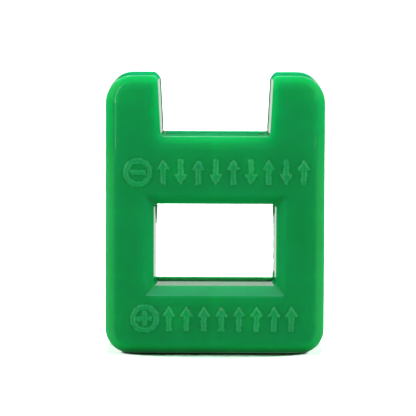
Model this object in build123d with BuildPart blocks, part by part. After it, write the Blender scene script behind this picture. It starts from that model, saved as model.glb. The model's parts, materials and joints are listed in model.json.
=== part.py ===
"""Magnetizer and demagnetizer block for watchmaker's tools.

A flat block that stands on its lower edge. A blade is stroked through the rectangular window to
magnetize it, and through the open slot between the two arms to demagnetize it. The case is two half
shells, glued face to face on the plane Y = 0. They are alike, but only the front one has a bevel round
the window. Each side column holds a steel keeper plate that carries a large magnet beside the window
and a small one, turned over, beside the slot.

Frame: origin at the middle of the bottom edge, +Z up, front face towards -Y. Millimetres.
"""

from build123d import *
import math
import os

# The block.
width = 40.0
height = 50.8
half_depth = 8.0
top_corner_radius = 4.9
bottom_corner_radius = 4.4

# The slot between the arms, as it is on the joint plane.
slot_top_width = 20.2
slot_floor_width = 19.0
slot_floor_z = 39.86
slot_lip_radius = 1.1
slot_root_radius = 0.8
slot_wall_draft = 3.6
slot_floor_draft = 0.8

# The window, as it is on the joint plane, and its mouths: bevelled in front, rounded at the back.
window_width = 21.65
window_height = 14.87
window_centre_z = 19.78
window_corner_radius = 0.7
window_wall_draft = 3.5
front_window_floor_draft = 0.8
rear_window_floor_draft = 0.0
bevel_width = 1.7
bevel_depth = 2.0
bevel_corner_radius = 0.3
bevel_edge_radius = 0.8
plain_mouth_radius = 0.2

# The shoulder is an arc tangent to the face, which the side wall cuts off before it turns fully.
shoulder_radius = 3.2
shoulder_angle = 50.0
edge_radius = 0.25
seam_groove = 0.12

# Walls of the half shell.
side_wall = 1.6
window_wall = 2.1
face_wall = 1.8
window_block_radius = 1.0

# Tongue round the left half of the rim, and the rebate on the right half that takes it.
tongue_thickness = 0.7
tongue_height = 0.7
rebate_clearance = 0.05
rebate_depth = 0.8
tongue_end_gap = 0.4
rebate_end_gap = 0.2

# Locating pins on the left, sockets on the right.
boss_radius = 2.2
boss_shortfall = 0.1
pin_radius = 1.0
pin_length = 2.7
pin_chamfer = 0.3
socket_radius = 1.05
socket_depth = 3.0
pin_x = 7.0
pin_heights = (6.2, 33.9)

# Ribs inside.
rib_thickness = 1.0
rib_top_gap = 1.0
bar_rib_gap = 1.5
ejector_mark_radius = 1.5
ejector_mark_depth = 0.15
ejector_mark_x = 3.4

# Keeper plates and magnets. All of them are as deep as each other, along Y.
core_depth = 10.0
fit_gap = 0.05
keeper_thickness = 1.2
keeper_length = 39.0
keeper_centre_z = 26.5
keeper_corner = 0.8
keeper_wall_gap = 0.1
magnet_thickness = 4.0
main_magnet_length = 20.0
arm_magnet_length = 8.0
arm_magnet_centre_z = 42.0
magnet_edge_radius = 0.3

# Raised markings on the face.
relief_height = 0.35
relief_taper = 14.0
sign_outer_radius = 2.6
sign_ring_width = 0.85
sign_bar_length = 2.7
sign_bar_width = 0.8
upper_sign = (-14.1, 33.2)
lower_sign = (-12.8, 6.4)
arrow_height = 4.6
arrow_width = 2.3
arrow_head_height = 1.9
arrow_shaft_width = 0.9
arrow_corner_radius = 0.12
upper_arrows = {"count": 9, "first_x": -9.5, "pitch": 3.2, "centre_z": 33.3, "turn_every_other": True}
lower_arrows = {"count": 8, "first_x": -8.4, "pitch": 3.2, "centre_z": 6.4, "turn_every_other": False}

# Worked out from the above.
shoulder_sine = math.sin(math.radians(shoulder_angle))
shoulder_overhang = shoulder_radius * (1 - shoulder_sine)
shoulder_drop = shoulder_radius * (1 - math.cos(math.radians(shoulder_angle)))
cavity_depth = half_depth - face_wall
keeper_outer_x = width / 2 - side_wall - keeper_wall_gap
keeper_x = keeper_outer_x - keeper_thickness / 2
magnet_outer_x = keeper_outer_x - keeper_thickness
magnet_x = magnet_outer_x - magnet_thickness / 2
magnet_inner_x = magnet_outer_x - magnet_thickness
column_inner_x = window_width / 2 + window_wall
column_outer_x = width / 2 - side_wall
rest_height = half_depth - face_wall - core_depth / 2 - fit_gap


def growth(depth, draft):
    """How far a drafted wall has moved out at a depth from the joint plane."""
    return depth * math.tan(math.radians(draft))


def outline_sketch(depth):
    """The block's outline with the slot, on a plane in front of the joint plane."""
    half_width = width / 2
    slot_top = slot_top_width / 2 + growth(depth, slot_wall_draft)
    slot_floor = slot_floor_width / 2 + growth(depth, slot_wall_draft)
    floor_z = slot_floor_z - growth(depth, slot_floor_draft)
    corners = [
        (-half_width, 0),
        (half_width, 0),
        (half_width, height),
        (slot_top, height),
        (slot_floor, floor_z),
        (-slot_floor, floor_z),
        (-slot_top, height),
        (-half_width, height),
    ]
    radii = [bottom_corner_radius] * 2 + [top_corner_radius, slot_lip_radius]
    radii += [slot_root_radius] * 2 + [slot_lip_radius, top_corner_radius]
    with BuildSketch(Plane.XZ.offset(depth)) as outline:
        with BuildLine():
            FilletPolyline(*corners, radius=radii, close=True)
        make_face()
    return outline.sketch


def window_sketch(depth, side_growth, floor_growth, radius):
    """The window on a plane in front of the joint plane, with its sides and floor moved out."""
    opening_width = window_width + 2 * side_growth
    opening_height = window_height + 2 * floor_growth
    with BuildSketch(Plane.XZ.offset(depth)) as window:
        with Locations((0, window_centre_z)):
            RectangleRounded(opening_width, opening_height, radius)
    return window.sketch


def outer_block(bevelled):
    """The solid half block with its shoulder, slot, window and softened edges."""
    with BuildPart() as block:
        with BuildSketch(Plane.XZ):
            add(outline_sketch(0))
            offset(amount=shoulder_overhang, kind=Kind.ARC)
        extrude(amount=half_depth)
        face = block.faces().sort_by(Axis.Y)[0]
        fillet(face.outer_wire().edges(), radius=shoulder_radius)

        # The side walls cut the shoulder off; the slot's walls open outwards from the joint.
        loft([outline_sketch(0), outline_sketch(half_depth)], ruled=True, mode=Mode.INTERSECT)
        rim_y = shoulder_drop - half_depth
        rim_slack = 1.2 * growth(half_depth, slot_wall_draft)
        rim = [
            edge
            for edge in block.edges()
            if abs(edge.center().Y - rim_y) < rim_slack and edge.bounding_box().size.Y < rim_slack
        ]
        fillet(rim, radius=edge_radius)

        seam_window = window_sketch(0, 0, 0, window_corner_radius)
        throat_depth = half_depth - bevel_depth if bevelled else half_depth
        window_floor_draft = front_window_floor_draft if bevelled else rear_window_floor_draft
        side = growth(throat_depth, window_wall_draft)
        floor = growth(throat_depth, window_floor_draft)
        throat = window_sketch(throat_depth, side, floor, window_corner_radius)
        loft([seam_window, throat], ruled=True, mode=Mode.SUBTRACT)
        if bevelled:
            side += bevel_width
            floor += bevel_width
            mouth = window_sketch(half_depth, side, floor, bevel_corner_radius)
            loft([throat, mouth], ruled=True, mode=Mode.SUBTRACT)
        mouth_radius = bevel_edge_radius if bevelled else plain_mouth_radius
        face = block.faces().sort_by(Axis.Y)[0]
        fillet(face.inner_wires()[0].edges(), radius=mouth_radius)

        # Fine groove along the joint. It leaves the base flat.
        with BuildSketch(Plane.XZ):
            with Locations((0, height / 2 + bottom_corner_radius)):
                Rectangle(2 * width, height)
            with BuildSketch(Plane.XZ, mode=Mode.SUBTRACT):
                add(outline_sketch(0))
                offset(amount=-seam_groove, kind=Kind.ARC)
            add(window_sketch(0, seam_groove, seam_groove, window_corner_radius + seam_groove))
        extrude(amount=seam_groove, mode=Mode.SUBTRACT)
    return block.part


def rim_ring(inset, side, end_gap):
    """The band of the rim from an inset to the cavity, on one side of the middle."""
    with BuildSketch(Plane.XZ) as ring:
        add(outline_sketch(0))
        offset(amount=-inset, kind=Kind.ARC)
        with BuildSketch(Plane.XZ, mode=Mode.SUBTRACT):
            add(outline_sketch(0))
            offset(amount=-side_wall, kind=Kind.ARC)
        with Locations((side * (width / 2 + end_gap), height / 2)):
            Rectangle(width, 2 * height, mode=Mode.INTERSECT)
    return ring.sketch


def box_rib(x_range, z_range, top_gap):
    """A rib that stands on the inside of the face and stops short of the joint plane."""
    x_low, x_high = x_range
    z_low, z_high = z_range
    with BuildSketch(Plane.XZ.offset(top_gap)) as rib:
        with Locations(((x_low + x_high) / 2, (z_low + z_high) / 2)):
            Rectangle(x_high - x_low, z_high - z_low)
    extrude(rib.sketch, amount=cavity_depth - top_gap)


def cross_rib(side, x_range, z, top_gap):
    """A rib across a column, centred on a height."""
    x_low, x_high = sorted(side * x for x in x_range)
    box_rib((x_low, x_high), (z - rib_thickness / 2, z + rib_thickness / 2), top_gap)


def column_ribs(side):
    """Rests under the magnets, stops at their ends and guides beside the small one."""
    main_half = main_magnet_length / 2 + fit_gap + rib_thickness / 2
    arm_half = arm_magnet_length / 2 + fit_gap + rib_thickness / 2
    keeper_half = keeper_length / 2 + fit_gap + rib_thickness / 2
    past_keeper = (column_inner_x, magnet_outer_x - fit_gap)
    whole_column = (column_inner_x, column_outer_x)
    rest_gap = cavity_depth - rest_height
    for z in (window_centre_z - 6, window_centre_z + 6, arm_magnet_centre_z):
        cross_rib(side, whole_column, z, rest_gap)
    for z in (window_centre_z - main_half, window_centre_z + main_half, arm_magnet_centre_z - arm_half):
        cross_rib(side, past_keeper, z, rib_top_gap)
    for z in (keeper_centre_z - keeper_half, keeper_centre_z + keeper_half):
        cross_rib(side, whole_column, z, rib_top_gap)
    slot_wall_x = slot_floor_width / 2 + side_wall - 0.2
    for z in (arm_magnet_centre_z - 2, arm_magnet_centre_z + 2):
        cross_rib(side, (slot_wall_x, magnet_inner_x - fit_gap), z, rib_top_gap)


def half_shell(bevelled):
    """One moulded half of the case, as it lies at the front."""
    with BuildPart() as shell:
        add(outer_block(bevelled))
        with BuildSketch(Plane.XZ):
            add(outline_sketch(0))
            offset(amount=-side_wall, kind=Kind.ARC)
            with Locations((0, window_centre_z)):
                RectangleRounded(
                    window_width + 2 * window_wall,
                    window_height + 2 * window_wall,
                    window_block_radius,
                    mode=Mode.SUBTRACT,
                )
        extrude(amount=cavity_depth, mode=Mode.SUBTRACT)

        for side in (-1, 1):
            column_ribs(side)
        bar_rib = (-rib_thickness / 2, rib_thickness / 2)
        window_block_half = window_height / 2 + window_wall
        box_rib(bar_rib, (side_wall / 2, window_centre_z - window_block_half), bar_rib_gap)
        box_rib(bar_rib, (window_centre_z + window_block_half, slot_floor_z - side_wall / 2), bar_rib_gap)

        # Bosses on both sides; pins on the left ones, sockets in the right ones.
        with BuildSketch(Plane.XZ.offset(boss_shortfall)):
            with Locations([(x, z) for x in (-pin_x, pin_x) for z in pin_heights]):
                Circle(boss_radius)
        extrude(amount=cavity_depth - boss_shortfall)
        with BuildSketch(Plane.XZ.offset(boss_shortfall)):
            with Locations([(-pin_x, z) for z in pin_heights]):
                Circle(pin_radius)
        extrude(amount=-pin_length)
        tips = shell.faces().sort_by(Axis.Y)[-len(pin_heights) :]
        chamfer(tips.edges(), length=pin_chamfer)
        with BuildSketch(Plane.XZ.offset(boss_shortfall)):
            with Locations([(pin_x, z) for z in pin_heights]):
                Circle(socket_radius)
        extrude(amount=socket_depth, mode=Mode.SUBTRACT)

        # Tongue and rebate, so that two copies of this part close on each other.
        tongue = rim_ring(side_wall - tongue_thickness, -1, tongue_end_gap)
        extrude(tongue, amount=-tongue_height)
        rebate = rim_ring(side_wall - tongue_thickness - rebate_clearance, 1, rebate_end_gap)
        extrude(rebate, amount=rebate_depth, mode=Mode.SUBTRACT)

        with BuildSketch(Plane.XZ.offset(cavity_depth)):
            with Locations([(x, z) for x in (-ejector_mark_x, ejector_mark_x) for z in pin_heights]):
                Circle(ejector_mark_radius)
        extrude(amount=ejector_mark_depth, mode=Mode.SUBTRACT)

        add_markings()
    return shell.part


def arrow_points(direction):
    """Outline of an arrow centred on the origin, pointing up for 1 and down for -1."""
    tip = arrow_height / 2
    neck = tip - arrow_head_height
    shaft = arrow_shaft_width / 2
    points = [
        (0, tip),
        (-arrow_width / 2, neck),
        (-shaft, neck),
        (-shaft, -tip),
        (shaft, -tip),
        (shaft, neck),
        (arrow_width / 2, neck),
    ]
    return [(x * direction, z * direction) for x, z in points]


def arrow_row(count, first_x, pitch, centre_z, turn_every_other):
    """A row of arrows on the face: turned alternately, or all one way."""
    with BuildSketch(Plane.XZ.offset(half_depth)) as row:
        for i in range(count):
            direction = -1 if turn_every_other and i % 2 else 1
            with Locations((first_x + i * pitch, centre_z)):
                Polygon(*arrow_points(direction), align=None)
        fillet(row.vertices(), radius=arrow_corner_radius)
    extrude(row.sketch, amount=relief_height, taper=relief_taper)


def sign(centre, crossed):
    """A ring with a minus in it, or a plus if it is crossed."""
    with BuildSketch(Plane.XZ.offset(half_depth)) as mark:
        with Locations(centre):
            Circle(sign_outer_radius)
            Circle(sign_outer_radius - sign_ring_width, mode=Mode.SUBTRACT)
            Rectangle(sign_bar_length, sign_bar_width)
            if crossed:
                Rectangle(sign_bar_width, sign_bar_length)
    extrude(mark.sketch, amount=relief_height, taper=relief_taper)


def add_markings():
    """Minus and alternating arrows by the slot, plus and aligned arrows below the window."""
    sign(upper_sign, crossed=False)
    sign(lower_sign, crossed=True)
    arrow_row(**upper_arrows)
    arrow_row(**lower_arrows)


def keeper_plate(side):
    """Flat steel strip with clipped corners that joins the backs of two magnets."""
    with BuildPart() as plate:
        with Locations((side * keeper_x, 0, keeper_centre_z)):
            Box(keeper_thickness, core_depth, keeper_length)
        chamfer(plate.edges().filter_by(Axis.X), length=keeper_corner)
    return plate.part


def magnet(side, length, centre_z):
    """Block magnet with its plated edges rounded."""
    with BuildPart() as block:
        with Locations((side * magnet_x, 0, centre_z)):
            Box(magnet_thickness, core_depth, length)
        fillet(block.edges(), radius=magnet_edge_radius)
    return block.part


def front_half():
    """The half with the bevelled window."""
    with BuildPart() as front:
        add(half_shell(bevelled=True))
    return front.part


def rear_half():
    """The half with the plain window, given half a turn to close the back."""
    with BuildPart() as rear:
        add(half_shell(bevelled=False), rotation=(0, 0, 180))
    return rear.part


def save(part, name):
    part.label = name
    export_step(part, f"parts/{name}.step")
    print(name, "volume", round(part.volume, 1), "valid", part.is_valid)


os.makedirs("parts", exist_ok=True)
save(front_half(), "front_shell")
save(rear_half(), "rear_shell")
for side_name, side in (("left", -1), ("right", 1)):
    save(keeper_plate(side), f"{side_name}_keeper_plate")
    save(magnet(side, main_magnet_length, window_centre_z), f"{side_name}_main_magnet")
    save(magnet(side, arm_magnet_length, arm_magnet_centre_z), f"{side_name}_arm_magnet")
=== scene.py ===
import json
import math
from collections import Counter

import bmesh
import bpy
import numpy as np
from mathutils import Matrix, Vector, geometry, noise


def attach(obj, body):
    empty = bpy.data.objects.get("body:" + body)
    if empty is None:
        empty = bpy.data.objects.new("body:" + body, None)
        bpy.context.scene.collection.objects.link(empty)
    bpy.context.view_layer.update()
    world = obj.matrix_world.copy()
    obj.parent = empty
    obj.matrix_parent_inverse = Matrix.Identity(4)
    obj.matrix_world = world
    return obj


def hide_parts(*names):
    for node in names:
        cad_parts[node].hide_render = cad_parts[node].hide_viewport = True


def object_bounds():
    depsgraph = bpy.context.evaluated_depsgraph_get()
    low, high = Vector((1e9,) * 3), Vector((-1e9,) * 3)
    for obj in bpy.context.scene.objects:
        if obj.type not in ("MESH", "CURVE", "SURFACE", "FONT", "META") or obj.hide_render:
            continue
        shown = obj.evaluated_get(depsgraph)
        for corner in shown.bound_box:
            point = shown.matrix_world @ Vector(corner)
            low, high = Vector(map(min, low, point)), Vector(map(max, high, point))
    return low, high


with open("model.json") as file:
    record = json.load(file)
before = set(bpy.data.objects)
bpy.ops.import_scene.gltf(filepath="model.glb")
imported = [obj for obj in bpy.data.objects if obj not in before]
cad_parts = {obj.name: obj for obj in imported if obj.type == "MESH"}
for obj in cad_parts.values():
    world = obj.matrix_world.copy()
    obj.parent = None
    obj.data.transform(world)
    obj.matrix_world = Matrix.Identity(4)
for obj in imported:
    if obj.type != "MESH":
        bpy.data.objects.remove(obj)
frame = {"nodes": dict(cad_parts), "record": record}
cad_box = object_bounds()

MM = 0.001
FRONT_SIDE, REAR_SIDE = -1, 1
LEFT_SIDE, RIGHT_SIDE = -1, 1

# Places on the block, in millimetres: how high it is, and where its window and its slot are.
OPENINGS = {
    opening["name"]: [[value / MM for value in corner] for corner in opening["box_m"]]
    for opening in frame["record"]["physics"]["openings"]
}
(_, _, WINDOW_FLOOR), (WINDOW_HALF, _, WINDOW_TOP) = OPENINGS["window"]
(_, _, SLOT_FLOOR), (SLOT_HALF, _, _) = OPENINGS["slot"]
TOP = cad_box[1][2] / MM

MARK_LAYERS = ("mark_rim_highlight", "mark_top", "mark_hollow_shade")


class Nodes:
    """Short helpers that build one node tree."""

    def __init__(self, tree):
        self.tree = tree

    def add(self, kind, **settings):
        node = self.tree.nodes.new(kind)
        for key, value in settings.items():
            setattr(node, key, value)
        return node

    def set(self, socket, value):
        if isinstance(value, bpy.types.NodeSocket):
            self.tree.links.new(value, socket)
        else:
            socket.default_value = value

    def maths(self, operation, a, b=0.0):
        node = self.add("ShaderNodeMath", operation=operation)
        self.set(node.inputs[0], a)
        self.set(node.inputs[1], b)
        return node.outputs[0]

    def split(self, vector):
        """The X, Y and Z of a vector."""
        node = self.add("ShaderNodeSeparateXYZ")
        self.set(node.inputs[0], vector)
        return list(node.outputs)

    def both(self, *masks):
        """The product of several masks."""
        result = masks[0]
        for mask in masks[1:]:
            result = self.maths("MULTIPLY", result, mask)
        return result

    def ramp(self, value, low, high, to_low=0.0, to_high=1.0):
        node = self.add("ShaderNodeMapRange", interpolation_type="SMOOTHSTEP")
        self.set(node.inputs["Value"], value)
        self.set(node.inputs["From Min"], low)
        self.set(node.inputs["From Max"], high)
        self.set(node.inputs["To Min"], to_low)
        self.set(node.inputs["To Max"], to_high)
        return node.outputs["Result"]

    def fade(self, value, low, high):
        """One below low and zero above high."""
        return self.ramp(value, low, high, 1.0, 0.0)

    def span(self, value, low, high, soft):
        """One between low and high, with soft edges."""
        rise = self.ramp(value, low - soft / 2, low + soft / 2)
        return self.both(rise, self.fade(value, high - soft / 2, high + soft / 2))

    def mix(self, factor, a, b):
        node = self.add("ShaderNodeMix", data_type="FLOAT")
        self.set(node.inputs["Factor"], factor)
        self.set(node.inputs["A"], a)
        self.set(node.inputs["B"], b)
        return node.outputs["Result"]

    def mix_color(self, factor, a, b):
        node = self.add("ShaderNodeMix", data_type="RGBA")
        self.set(node.inputs["Factor"], factor)
        self.set(node.inputs[6], a)
        self.set(node.inputs[7], b)
        return node.outputs[2]

    def noise(self, vector, size, detail=2.0):
        """Noise whose features are about size metres across."""
        node = self.add("ShaderNodeTexNoise")
        self.set(node.inputs["Vector"], vector)
        self.set(node.inputs["Scale"], 1.0 / size)
        self.set(node.inputs["Detail"], detail)
        return node.outputs["Fac"]

    def bump(self, height, distance, strength=1.0):
        node = self.add("ShaderNodeBump")
        self.set(node.inputs["Height"], height)
        self.set(node.inputs["Distance"], distance)
        self.set(node.inputs["Strength"], strength)
        return node.outputs["Normal"]


def new_material(name):
    """A material, with the helpers for its node tree and its surface shader."""
    mat = bpy.data.materials.new(name)
    mat.use_nodes = True
    return mat, Nodes(mat.node_tree), mat.node_tree.nodes["Principled BSDF"]


# Camera, in millimetres and degrees.

VIEW_TARGET = Vector((-1.3, -8, 26.75))
VIEW_DISTANCE = 650
VIEW_WIDTH = 75.8
VIEW_ELEVATION = 5.45
VIEW_ROLL = 0.2
SENSOR_WIDTH = 36


def make_camera():
    """A long lens, a little above the block."""
    data = bpy.data.cameras.new("camera")
    data.sensor_width = SENSOR_WIDTH
    data.lens = data.sensor_width * VIEW_DISTANCE / VIEW_WIDTH
    camera = bpy.data.objects.new("camera", data)
    bpy.context.collection.objects.link(camera)
    elevation = math.radians(VIEW_ELEVATION)
    back = Vector((0, -math.cos(elevation), math.sin(elevation)))
    camera.location = VIEW_TARGET * MM + back * VIEW_DISTANCE * MM
    rotation = (-back).to_track_quat("-Z", "Y").to_matrix()
    roll = Matrix.Rotation(math.radians(VIEW_ROLL), 3, "Z")
    camera.rotation_mode = "QUATERNION"
    camera.rotation_quaternion = (rotation @ roll).to_quaternion()
    data.clip_start, data.clip_end = 0.05, 50
    bpy.context.scene.camera = camera


# Light tent: the radiance of each part, and the directions between which each one fades.

FRONT, SIDE, BACK, OVERHEAD, GAP = 0.28, 0.98, 0.95, 3.0, 0.008
TABLE_FRONT, TABLE_SIDE, TABLE_BACK, HORIZON = 0.22, 0.9, 1.0, 0.22
BACK_GAIN = 1.5
TABLE_NEAR_SHARE = 0.45

SIDE_OUTWARD, SIDE_UPWARD = (0.25, 0.8), (0.05, 0.25)
BACK_BEHIND, BACK_UPWARD = (0.05, 0.4), (0.25, 0.5)
OVERHEAD_BEHIND, OVERHEAD_UPWARD = (0.1, 0.3), (0.7, 0.85)
GAP_BEHIND, GAP_UPWARD = (0.5, 0.85), (0.09, 0.168)
TABLE_OUTWARD, TABLE_EDGE = (0.44, 0.5), (-0.085, -0.075)
TABLE_NEAR, TABLE_BEHIND = (-0.7, -0.3), (0.0, 0.4)
HORIZON_EDGE = (-0.01, 0.01)


def make_world():
    """A light tent: brightest overhead and behind, darker in front, with a dark band round the horizon.

    The table hides from the block's reflections and bounces, so the lower half stands for it.
    """
    world = bpy.data.worlds.new("studio")
    bpy.context.scene.world = world
    world.use_nodes = True
    n = Nodes(world.node_tree)
    background = world.node_tree.nodes["Background"]
    x, y, z = n.split(n.add("ShaderNodeTexCoord").outputs["Generated"])
    x = n.maths("ABSOLUTE", x)
    side = n.both(n.ramp(x, *SIDE_OUTWARD, 0.0, SIDE), n.ramp(z, *SIDE_UPWARD, HORIZON / SIDE, 1.0))
    back = n.both(n.ramp(y, *BACK_BEHIND, 0.0, BACK), n.ramp(z, *BACK_UPWARD, 1.0, BACK_GAIN))
    overhead = n.both(n.ramp(y, *OVERHEAD_BEHIND, 0.0, OVERHEAD), n.ramp(z, *OVERHEAD_UPWARD))
    walls = n.maths("MAXIMUM", n.maths("MAXIMUM", back, side), overhead)
    gap = n.both(n.ramp(y, *GAP_BEHIND), n.fade(z, *GAP_UPWARD))
    upper = n.mix(gap, n.maths("MAXIMUM", walls, FRONT), GAP)
    near = n.ramp(x, *TABLE_OUTWARD, TABLE_FRONT, TABLE_SIDE)
    near = n.mix(n.ramp(z, *TABLE_EDGE), near, HORIZON)
    near = n.both(near, n.ramp(z, *TABLE_NEAR, TABLE_NEAR_SHARE, 1.0))
    lower = n.mix(n.ramp(y, *TABLE_BEHIND), near, TABLE_BACK)
    n.set(background.inputs["Strength"], n.mix(n.ramp(z, *HORIZON_EDGE), lower, upper))
    background.inputs["Color"].default_value = (1, 1, 1, 1)


# Table and lights. Sizes and places are in millimetres.

TABLE_SUNS = (  # name, azimuth, elevation, disc in degrees, energy
    ("table_top", 90, 83.9, 8.5, 480.0),
    ("table_left", 150, 30, 16, 800.0),
    ("table_right", 30, 30, 16, 800.0),
)
SUN_DISTANCE = 500
BOUNCE_SIZE = (36, 3)
BOUNCE_COLOR = (0.0, 1.0, 0.15)
STRIP_SIZE = (5, 300)
STRIP_DISTANCE = 300
STRIP_TURN = 29
STRIP_HEIGHT = 164.5
KEY_SIZE = (160, 160)


def make_floor():
    bpy.ops.mesh.primitive_plane_add(size=20, location=(0, 0, 0))
    floor = bpy.context.object
    floor.name = "floor"
    floor.visible_diffuse = False
    floor.visible_glossy = False
    mat, _, bsdf = new_material("floor")
    bsdf.inputs["Base Color"].default_value = (0.0065, 0.008, 0.007, 1)
    bsdf.inputs["Roughness"].default_value = 0.8
    bsdf.inputs["Specular IOR Level"].default_value = 0.0
    floor.data.materials.append(mat)
    return floor


def place_light(name, data, place, aim):
    light = bpy.data.objects.new(name, data)
    bpy.context.collection.objects.link(light)
    light.location = Vector(place) * MM
    light.rotation_mode = "QUATERNION"
    light.rotation_quaternion = (Vector(aim) * MM - light.location).to_track_quat("-Z", "Y")
    return light


def area_light(name, size, energy, place, aim):
    """A rectangular light, size being its width and its height."""
    data = bpy.data.lights.new(name, "AREA")
    data.shape = "RECTANGLE"
    data.size, data.size_y = size[0] * MM, size[1] * MM
    data.energy = energy
    return place_light(name, data, place, aim)


def table_lights(floor):
    """Lights that only the table takes: three suns, and the green that the block throws on it."""
    lit = bpy.data.collections.new("table_only")
    lit.objects.link(floor)
    for name, azimuth, elevation, disc, energy in TABLE_SUNS:
        data = bpy.data.lights.new(name, "SUN")
        data.energy = energy
        data.angle = math.radians(disc)
        turn, rise = math.radians(azimuth), math.radians(elevation)
        place = Vector((math.cos(turn) * math.cos(rise), math.sin(turn) * math.cos(rise), math.sin(rise)))
        light = place_light(name, data, place * SUN_DISTANCE, (0, 0, 0))
        light.light_linking.receiver_collection = lit
    bounce = area_light("green_bounce", BOUNCE_SIZE, energy=0.024, place=(0, -12, 3), aim=(0, -15, 0))
    bounce.data.color = BOUNCE_COLOR
    bounce.visible_camera = False
    bounce.light_linking.receiver_collection = lit


def strip_lights():
    """Two tall narrow strips in front, which draw a thin line down each shoulder."""
    turn = math.radians(STRIP_TURN)
    for name, side in (("left_strip_light", LEFT_SIDE), ("right_strip_light", RIGHT_SIDE)):
        place = (side * STRIP_DISTANCE * math.sin(turn), -STRIP_DISTANCE * math.cos(turn), STRIP_HEIGHT)
        area_light(name, STRIP_SIZE, energy=0.11, place=place, aim=(0, 0, STRIP_HEIGHT))


def key_light():
    """A soft light in front and above, near enough to light the arms more than the foot."""
    key = area_light("key", KEY_SIZE, energy=0.215, place=(0, -180, 240), aim=(0, 0, 40))
    key.visible_glossy = False
    key.visible_camera = False


# Green plastic. Lengths are in millimetres, and colours are linear.

GREEN_DEEP, GREEN_PALE = (0.0035, 0.50, 0.088, 1), (0.0045, 0.54, 0.100, 1)
TINTS = (  # zone, how far it shifts the colour, and to what
    # mark_hollow_shade paints shade round the foot of each mark.
    ("mark_hollow_shade", 0.5, (0.002, 0.33, 0.055, 1)),
    ("mark_top", 0.5, (0.012, 0.70, 0.14, 1)),
    ("mark_rim_highlight", 0.8, (0.03, 0.85, 0.18, 1)),
    # rear_window_floor_shade paints shade on the rear half of the window floor.
    ("rear_window_floor_shade", 0.97, (0.0008, 0.05, 0.012, 1)),
    # mark_rim_highlight paints a pale highlight round the edge of each mark.
    ("arms", 0.6, (0.005, 0.62, 0.115, 1)),
    # arms paints glow on the arms, and crest paints a highlight on the front edges.
    ("crest", 0.5, (0.20, 0.64, 0.34, 1)),
    ("glue_film", 0.8, (0.02, 0.16, 0.06, 1)),
    ("joint_groove", 0.8, (0.008, 0.10, 0.03, 1)),
    ("bevel", 0.2, (0.04, 0.75, 0.22, 1)),
    # lower_bevel_frost_and_sheen paints a pale sheen on the lower side of the bevel, which is also rougher.
    ("lower_bevel_frost_and_sheen", 0.8, (0.055, 0.74, 0.21, 1)),
    # foot paints shade at the bottom of the case, where it stands on the table.
    ("foot", 1.0, (0.008, 0.015, 0.008, 1)),
)
PLAIN_GLOSS = 0.22
GLOSS = (  # zone, and its specular level
    ("edges", 1.0),
    ("opening_shoulders", 0.05),
    ("arm_ends", 0.0001),
    ("slot_floor", 0.002),
    ("rear_window_floor_shade", 0.0003),
    ("window_corners", 0.0),
    ("glue_film", 0.0002),
    ("joint_groove", 0.0),
    ("bevel", 0.08),
    ("lower_bevel_frost_and_sheen", 0.4),
    ("foot_edge", 0.0),
    ("mark_rim_highlight", 0.6),
)
FACE_ROUGHNESS = (0.03, 0.06)
WALL_ROUGHNESS = 0.05
FROST_ROUGHNESS = 0.5
CLOUD_SIZE, SMUDGE_SIZE, WAVE_SIZE = 9, 4, 2.5
WAVE_HEIGHT = 0.002
GLOW_LENGTH = 18.0
GLOW_SHARES = (0.3, 1.0, 0.6)

# Where the zones are: parts of the normal at which walls and floors begin, then distances.
WALL_FACING, FLOOR_FACING = (0.2, 0.5), (0.3, 0.6)
SOFT_BORDER = 0.6
FILM_EDGE, GROOVE_EDGE = (2.2, 3.4), (0.12, 0.15)
BEVEL_BESIDE, BEVEL_BELOW, BEVEL_ABOVE = 2.75, 2.7, 2.75


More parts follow.
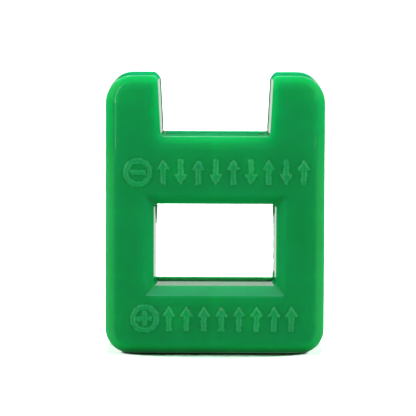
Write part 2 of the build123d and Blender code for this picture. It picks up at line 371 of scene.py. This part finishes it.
def case_zones(n, place):
    """Masks from zero to one, by name, for the parts of the case that differ from the plain plastic."""
    zones = {name: n.add("ShaderNodeAttribute", attribute_name=name).outputs["Fac"] for name in MARK_LAYERS}
    x, y, z = (n.maths("MULTIPLY", part, 1 / MM) for part in n.split(place))
    across, depth = n.maths("ABSOLUTE", x), n.maths("ABSOLUTE", y)
    surface = n.add("ShaderNodeNewGeometry")
    normal_x, normal_y, up = n.split(surface.outputs["Normal"])
    _, facet_y, facet_up = n.split(surface.outputs["True Normal"])
    out = n.maths("ABSOLUTE", normal_y)

    # Walls and floors run from front to back, and a polished edge borders each of them.
    wall = n.fade(out, *WALL_FACING)
    floor = n.both(wall, n.ramp(up, *FLOOR_FACING))
    zones["wall"] = wall
    zones["edges"] = n.both(n.span(out, 0.15, 0.55, 0.1), n.ramp(up, -0.3, -0.1))
    inward = n.fade(n.maths("MULTIPLY", x, normal_x), -1.6, -0.6)
    zones["opening_shoulders"] = n.both(inward, n.ramp(out, 0.75, 0.85))

    # The ends of the arms and the floors of the slot and the window are dull. The rear half of the window
    # floor is also painted nearly black, as painted shade.
    window_low = n.span(z, WINDOW_FLOOR - 1.5, WINDOW_FLOOR + 0.9, SOFT_BORDER)
    facet_wall = n.fade(n.maths("ABSOLUTE", facet_y), *WALL_FACING)
    zones["arm_ends"] = n.both(wall, n.ramp(z, TOP - 6.8, TOP - 4.8), n.ramp(up, 0.05, 0.4))
    zones["slot_floor"] = n.both(floor, n.span(z, SLOT_FLOOR - 4.2, SLOT_FLOOR + 1.0, SOFT_BORDER))
    zones["rear_window_floor_shade"] = n.both(floor, window_low, n.ramp(y, 0.0, 0.3))
    zones["window_corners"] = n.both(facet_wall, window_low, n.span(facet_up, 0.05, 0.9, 0.1))

    # The arms are thin. They are painted lighter, as painted glow, less so at their very top. The
    # upward-facing front edges, from the slot floor up, get a pale painted highlight.
    tops = n.ramp(z, TOP - 5.8, TOP - 0.8, 1.0, 0.1)
    zones["arms"] = n.both(n.ramp(z, SLOT_FLOOR - 8.2, SLOT_FLOOR + 3.8), tops)
    above_floor = n.ramp(z, SLOT_FLOOR - 4.2, SLOT_FLOOR - 2.2)
    zones["crest"] = n.both(n.span(out, 0.2, 0.6, 0.1), n.ramp(up, 0.25, 0.45), above_floor)

    # A film of glue dulls the slot's walls beside the joint, and dark glue fills the joint's groove.
    upright = n.both(wall, n.fade(n.maths("ABSOLUTE", up), 0.2, 0.4))
    slot_wall = n.both(upright, n.fade(across, SLOT_HALF + 1.2, SLOT_HALF + 1.4))
    beside_joint = n.fade(depth, *FILM_EDGE)
    zones["glue_film"] = n.both(slot_wall, n.ramp(z, SLOT_FLOOR - 1.2, SLOT_FLOOR - 0.2), beside_joint)
    zones["joint_groove"] = n.fade(depth, *GROOVE_EDGE)

    # The bevel round the window is a little duller and paler than the face. Its lower side, which faces up,
    # has a slightly frosted finish and is painted paler still, as a painted sheen.
    bevel_side = WINDOW_HALF + BEVEL_BESIDE
    bevel_heights = n.span(z, WINDOW_FLOOR - BEVEL_BELOW, WINDOW_TOP + BEVEL_ABOVE, 0.3)
    near_window = n.both(n.fade(across, bevel_side - 0.1, bevel_side + 0.1), bevel_heights)
    below_window = n.fade(z, WINDOW_FLOOR + 1.5, WINDOW_FLOOR + 2.5)
    zones["bevel"] = n.both(near_window, n.span(out, 0.5, 0.78, 0.06))
    lower_side = n.both(n.span(up, 0.45, 0.9, 0.1), below_window)
    zones["lower_bevel_frost_and_sheen"] = n.both(near_window, n.span(out, 0.5, 0.93, 0.06), lower_side)

    # Painted shade darkens the bottom two millimetres of the case towards the table, and its lowest part is
    # painted almost black.
    contact_shade = n.ramp(z, -0.3, 1.9, 0.95, 0.0)
    zones["foot"] = n.maths("MAXIMUM", contact_shade, n.fade(z, 0.1, 0.9))
    zones["foot_edge"] = n.fade(z, 0.2, 0.5)
    return zones


def green_plastic():
    """Glossy moulded plastic that light sinks into, with faint flow marks, smudges and a slight wave."""
    mat, n, bsdf = new_material("green_plastic")
    bsdf.subsurface_method = "RANDOM_WALK"
    place = n.add("ShaderNodeTexCoord").outputs["Object"]
    zones = case_zones(n, place)
    cloud = n.ramp(n.noise(place, CLOUD_SIZE * MM, 3.0), 0.3, 0.7)
    base = n.mix_color(cloud, GREEN_DEEP, GREEN_PALE)
    for zone, strength, color in TINTS:
        base = n.mix_color(n.maths("MULTIPLY", zones[zone], strength), base, color)
    level = PLAIN_GLOSS
    for zone, gloss in GLOSS:
        level = n.mix(zones[zone], level, gloss)
    smudge = n.ramp(n.noise(place, SMUDGE_SIZE * MM, 5.0), 0.45, 0.75)
    roughness = n.mix(zones["wall"], n.mix(smudge, *FACE_ROUGHNESS), WALL_ROUGHNESS)
    roughness = n.mix(zones["lower_bevel_frost_and_sheen"], roughness, FROST_ROUGHNESS)
    wave = n.noise(place, WAVE_SIZE * MM)
    n.set(bsdf.inputs["Base Color"], base)
    n.set(bsdf.inputs["Specular IOR Level"], level)
    n.set(bsdf.inputs["Roughness"], roughness)
    n.set(bsdf.inputs["Normal"], n.bump(wave, WAVE_HEIGHT * MM, n.mix(zones["wall"], 1.0, 0.0)))
    bsdf.inputs["Subsurface Weight"].default_value = 1.0
    bsdf.inputs["Subsurface Radius"].default_value = GLOW_SHARES
    bsdf.inputs["Subsurface Scale"].default_value = GLOW_LENGTH * MM
    return mat


# The other materials.


def glue():
    """The dirty glue that squeezed out of the joint."""
    mat, n, bsdf = new_material("glue")
    place = n.add("ShaderNodeTexCoord").outputs["Object"]
    grain = n.ramp(n.noise(place, 0.4 * MM, 3.0), 0.35, 0.65)
    n.set(bsdf.inputs["Base Color"], n.mix_color(grain, (0.12, 0.50, 0.22, 1), (0.22, 0.68, 0.34, 1)))
    n.set(bsdf.inputs["Roughness"], n.mix(grain, 0.35, 0.7))
    bsdf.inputs["Specular IOR Level"].default_value = 0.2
    return mat


def plated(name, color, roughness, streak):
    """Plated metal with a fine grain; streak stretches the grain along Z."""
    mat, n, bsdf = new_material(name)
    place = n.add("ShaderNodeTexCoord").outputs["Object"]
    mapping = n.add("ShaderNodeMapping")
    mapping.inputs["Scale"].default_value = (1, 1, streak)
    n.set(mapping.inputs["Vector"], place)
    grain = n.noise(mapping.outputs["Vector"], 0.15 * MM, 4.0)
    worn = n.ramp(n.noise(place, 3 * MM, 3.0), 0.4, 0.7)
    dull = tuple(0.75 * c for c in color[:3]) + (1,)
    n.set(bsdf.inputs["Base Color"], n.mix_color(worn, color, dull))
    n.set(bsdf.inputs["Roughness"], n.mix(grain, roughness, roughness + 0.2))
    n.set(bsdf.inputs["Normal"], n.bump(grain, 0.003 * MM))
    bsdf.inputs["Metallic"].default_value = 1.0
    return mat


# The case: the CAD shells with softened, slightly ragged markings.

GRID = 0.085 * MM
PATCH_MARGIN = 0.5 * MM
FACE_MARGIN = 0.05 * MM
TOUCH = 0.002 * MM
WELD = 0.001 * MM
SHARP_ANGLE = math.radians(32)

# Millimetres: how high a mark's top and its rim stand, the limit of both, and how ragged its outline is.
TOP_HEIGHT, RIM_HEIGHT, HIGHEST = 0.24, 0.10, 0.345
RAGGEDNESS = 0.10


def smoothstep(value, low, high):
    t = np.clip((value - low) / (high - low), 0, 1)
    return t * t * (3 - 2 * t)


def ridge(distance, place, width):
    """A rounded ridge along an outline, place millimetres inside it."""
    return np.exp(-(((distance - place) / width) ** 2))


def mark_outlines(bm, face_y, side):
    """The edges where the raised marks leave the face, as segments (x, z, x, z) in metres."""
    segments = []
    for edge in bm.edges:
        if any(abs(v.co.y - face_y) > TOUCH for v in edge.verts):
            continue
        rises = [any(side * (v.co.y - face_y) > 10 * TOUCH for v in f.verts) for f in edge.link_faces]
        if sorted(rises) == [False, True]:
            a, b = (v.co for v in edge.verts)
            segments.append((a.x, a.z, b.x, b.z))
    return np.array(segments)


def signed_distance(x, z, segments):
    """Distance from each point to the outlines, positive inside a mark."""
    nearest = np.full(x.shape, 1.0)
    inside = np.zeros(x.shape, bool)
    for ax, az, bx, bz in segments:
        dx, dz = bx - ax, bz - az
        t = np.clip(((x - ax) * dx + (z - az) * dz) / (dx * dx + dz * dz), 0, 1)
        nearest = np.minimum(nearest, np.hypot(x - ax - t * dx, z - az - t * dz))
        if dz:
            spans = (az > z) != (bz > z)
            inside ^= spans & (x < ax + (z - az) * dx / dz)
    return np.where(inside, nearest, -nearest)


def mark_relief(x, z, segments, seed):
    """Height of the softened marks, and how much each point belongs to a rim, a top and a hollow."""
    distance = signed_distance(x, z, segments) / MM
    ragged = np.empty(x.shape)
    rough = np.empty(x.shape)
    for index in np.ndindex(x.shape):
        point = Vector((x[index], z[index], seed * MM)) / MM
        ragged[index] = noise.noise(point * 1.9) + 0.6 * noise.noise(point * 4.3)
        rough[index] = noise.noise(point * 0.35 + Vector((7, 3, 1)))
    distance = distance + ragged * RAGGEDNESS * np.clip(0.8 + 1.4 * rough, 0.3, 1.6)
    top = smoothstep(distance, -0.12, 0.20)
    crest = ridge(distance, 0.20, 0.14) * (1 + 0.5 * ragged)
    # The rim share later paints a highlight along each mark's edge.
    rim = ridge(distance, 0.08, 0.16) * np.clip(0.7 + 0.8 * ragged, 0, 1)
    # The hollow share later paints shade round the foot of each mark.
    hollow = ridge(distance, -0.22, 0.18) * np.clip(0.7 - 0.8 * ragged, 0, 1)
    height = np.clip(TOP_HEIGHT * top + RIM_HEIGHT * crest, 0, HIGHEST) * MM
    return height, (rim, top, hollow)


def add_patch(bm, x_range, z_range, face_y, side, segments, seed):
    """A grid on the face that carries one row of marks; gives back its border edges."""
    columns = int(round((x_range[1] - x_range[0]) / GRID)) + 1
    rows = int(round((z_range[1] - z_range[0]) / GRID)) + 1
    x, z = np.meshgrid(np.linspace(*x_range, columns), np.linspace(*z_range, rows), indexing="ij")
    height, shares = mark_relief(x, z, segments, seed)
    height[0, :] = height[-1, :] = 0
    height[:, 0] = height[:, -1] = 0
    verts = [
        [bm.verts.new((x[i, j], face_y + side * height[i, j], z[i, j])) for j in range(rows)]
        for i in range(columns)
    ]
    for name, share in zip(MARK_LAYERS, shares):
        layer = bm.verts.layers.float[name]
        for i in range(columns):
            for j in range(rows):
                verts[i][j][layer] = share[i, j]
    for i in range(columns - 1):
        for j in range(rows - 1):
            corners = [verts[i][j], verts[i + 1][j], verts[i + 1][j + 1], verts[i][j + 1]]
            bm.faces.new(corners if side < 0 else corners[::-1])
    ring = [verts[i][0] for i in range(columns - 1)] + [verts[-1][j] for j in range(rows - 1)]
    ring += [verts[i][-1] for i in range(columns - 1, 0, -1)] + [verts[0][j] for j in range(rows - 1, 0, -1)]
    return [bm.edges.get((ring[k], ring[(k + 1) % len(ring)])) for k in range(len(ring))]


def fill_face(bm, border, side):
    """Triangulate the flat face between its outline, the window and the patches."""
    verts = list({v for e in border for v in e.verts})
    index = {v: i for i, v in enumerate(verts)}
    flat = [Vector((v.co.x, v.co.z)) / MM for v in verts]
    edges = [(index[e.verts[0]], index[e.verts[1]]) for e in border]
    _, _, triangles, originals, _, _ = geometry.delaunay_2d_cdt(flat, edges, [], 0, 1e-5)
    segments = np.array([(*(flat[a] * MM), *(flat[b] * MM)) for a, b in edges])
    corners = [[originals[i][0] for i in triangle] for triangle in triangles]
    centres = np.array([sum((flat[i] for i in c), Vector((0, 0))) / 3 * MM for c in corners])
    keep = signed_distance(centres[:, 0], centres[:, 1], segments) > 0
    for corner, kept in zip(corners, keep):
        if kept:
            ring = [verts[i] for i in corner]
            bm.faces.new(ring if side < 0 else ring[::-1])


def rebuild_face(bm, side):
    """Take the CAD marks off the shell's outer face and put the softened ones on."""
    levels = Counter(round(side * v.co.y / MM, 3) for v in bm.verts)
    face_y = side * levels.most_common(1)[0][0] * MM
    segments = mark_outlines(bm, face_y, side)
    on_face = [f for f in bm.faces if all(side * (v.co.y - face_y) > -TOUCH for v in f.verts)]
    bmesh.ops.delete(bm, geom=on_face, context="FACES")
    border = [e for e in bm.edges if len(e.link_faces) == 1]
    edge_x = [pick(v.co.x for e in border for v in e.verts) for pick in (min, max)]
    centres = 0.5 * (segments[:, 1] + segments[:, 3])
    split = 0.5 * (centres.min() + centres.max())
    for seed, row in ((1, segments[centres < split]), (2, segments[centres > split])):
        x_range = (
            max(row[:, ::2].min() - PATCH_MARGIN, edge_x[0] + FACE_MARGIN),
            min(row[:, ::2].max() + PATCH_MARGIN, edge_x[1] - FACE_MARGIN),
        )
        z_range = (row[:, 1::2].min() - PATCH_MARGIN, row[:, 1::2].max() + PATCH_MARGIN)
        border += add_patch(bm, x_range, z_range, face_y, side, row, seed + 5 * side)
    fill_face(bm, border, side)


def mesh_object(name, bm, material):
    """Turn a bmesh into a smooth-shaded object."""
    mesh = bpy.data.meshes.new(name)
    bm.to_mesh(mesh)
    bm.free()
    mesh.materials.append(material)
    for polygon in mesh.polygons:
        polygon.use_smooth = True
    piece = bpy.data.objects.new(name, mesh)
    bpy.context.collection.objects.link(piece)
    return piece


def case_piece(name, node_name, side, material):
    """One shell with its face rebuilt and its edges sharp where it turns a corner."""
    bm = bmesh.new()
    bm.from_mesh(frame["nodes"][node_name].data)
    for layer in MARK_LAYERS:
        bm.verts.layers.float.new(layer)
    bmesh.ops.remove_doubles(bm, verts=bm.verts, dist=WELD)
    rebuild_face(bm, side)
    for edge in bm.edges:
        edge.smooth = edge.calc_face_angle(0) < SHARP_ANGLE
    piece = mesh_object(name, bm, material)
    if "custom_normal" in piece.data.attributes:
        piece.data.attributes.remove(piece.data.attributes["custom_normal"])
    weighted = piece.modifiers.new("even_normals", "WEIGHTED_NORMAL")
    weighted.keep_sharp = True
    weighted.weight = 100
    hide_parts(node_name)
    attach(piece, "root")


# The glue that squeezed out of the joint, where it shows inside the slot and the window.

FIN_STEP = 0.12 * MM
SEAM_DEPTH = 0.112 * MM
WALL_SLOPE = 0.06
DEEPEST = -0.15 * MM
END_SHARPNESS = 30
FIN_SECTION = (  # depth, share of the fin's thickness, and millimetres off the wall
    (-0.5, 0.0, -0.04),
    (-0.2, 0.4, 0.0),
    (-0.08, 0.9, 0.0),
    (0.02, 1.0, 0.0),
    (0.12, 0.5, 0.0),
    (0.2, 0.0, -0.05),
    (0.2, 0.0, -0.25),
    (-0.5, 0.0, -0.25),
)

# Heights and thicknesses in millimetres. Below zero the glue stays behind the wall.
SLOT_PROFILE = ((40, 0.08), (50, 0.07))
LEFT_PROFILE = ((16.5, -0.1), (18, 0.0), (22, 0.01), (23.1, 0.0), (23.3, 0.14), (25, 0.22), (27, 0.32))
RIGHT_PROFILE = ((12, 0.26), (14.1, 0.22), (14.4, 0.08), (20, 0.08), (24.5, 0.12), (25.2, 0.24), (27, 0.32))
SLOT_RANGE = (SLOT_FLOOR + 0.3, TOP - 0.6)
WINDOW_RANGE = (WINDOW_FLOOR + 0.4, WINDOW_TOP - 0.05)
SLOT_REACH = SLOT_HALF + 1.3
WINDOW_REACH = WINDOW_HALF + 1.35
FINS = (  # name, side, farthest x of the wall, heights, profile, raggedness, seed
    ("left_slot_glue", LEFT_SIDE, SLOT_REACH, SLOT_RANGE, SLOT_PROFILE, 0.012, 11),
    ("right_slot_glue", RIGHT_SIDE, SLOT_REACH, SLOT_RANGE, SLOT_PROFILE, 0.012, 23),
    ("left_window_glue", LEFT_SIDE, WINDOW_REACH, WINDOW_RANGE, LEFT_PROFILE, 0.05, 37),
    ("right_window_glue", RIGHT_SIDE, WINDOW_REACH, WINDOW_RANGE, RIGHT_PROFILE, 0.05, 51),
)


def seam_line(side, reach, z_low, z_high):
    """The joint along one wall: heights from low to high, and the x of the wall at each, in metres."""
    points = [v.co for v in frame["nodes"]["front_shell"].data.vertices if abs(v.co.y) < WELD]
    wall = sorted({(p.z, p.x) for p in points if 0 < side * p.x < reach and z_low - MM < p.z < z_high + MM})
    heights = np.arange(z_low, z_high, FIN_STEP)
    return heights, np.interp(heights, *zip(*wall)) - side * SEAM_DEPTH


def fin_thickness(z, share, profile, rag, seed):
    """Thickness in metres at one height; share runs from zero to one along the fin."""
    ragged = noise.noise(Vector((seed, 0, z / MM * 0.9))) + 0.6 * noise.noise(Vector((seed, 3, z / MM * 3.1)))
    stand = (float(np.interp(z / MM, *zip(*profile))) + rag * ragged) * MM
    return max(stand * min(1.0, END_SHARPNESS * share, END_SHARPNESS * (1 - share)), DEEPEST)


def glue_fin(name, side, reach, heights, profile, rag, seed, material):
    """A thin ragged fin of glue that stands out of the joint on one wall."""
    z_low, z_high = (height * MM for height in heights)
    bm = bmesh.new()
    rings = []
    for z, x in zip(*seam_line(side, reach * MM, z_low, z_high)):
        stand = fin_thickness(z, (z - z_low) / (z_high - z_low), profile, rag, seed)
        ring = []
        for depth, share, off in FIN_SECTION:
            inward = share * stand + off * MM - abs(depth) * MM * WALL_SLOPE
            ring.append(bm.verts.new((x - side * inward, depth * MM, z)))
        rings.append(ring)
    count = len(FIN_SECTION)
    for a, b in zip(rings, rings[1:]):
        for k in range(count):
            bm.faces.new((a[k], a[(k + 1) % count], b[(k + 1) % count], b[k]))
    bm.faces.new(rings[0][::-1])
    bm.faces.new(rings[-1])
    bmesh.ops.recalc_face_normals(bm, faces=bm.faces)
    piece = mesh_object(name, bm, material)
    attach(piece, "root")


def dress_nodes(plastic):
    """Give every CAD node its material: the magnets and keeper plates show only in a cut."""
    nickel = plated("nickel", (0.66, 0.62, 0.56, 1), 0.12, 1)
    steel = plated("zinc_plated_steel", (0.55, 0.56, 0.57, 1), 0.3, 0.05)
    for name, node in frame["nodes"].items():
        material = plastic
        if "magnet" in name:
            material = nickel
        elif "keeper" in name:
            material = steel
        for index in range(len(node.data.materials)):
            node.data.materials[index] = material


make_camera()
make_world()
table_lights(make_floor())
strip_lights()
key_light()

green = green_plastic()
case_piece("front_case", "front_shell", FRONT_SIDE, green)
case_piece("rear_case", "rear_shell", REAR_SIDE, green)
squeezed_glue = glue()
for fin in FINS:
    glue_fin(*fin, squeezed_glue)
dress_nodes(green)

scene = bpy.context.scene
scene.view_settings.view_transform = "Standard"
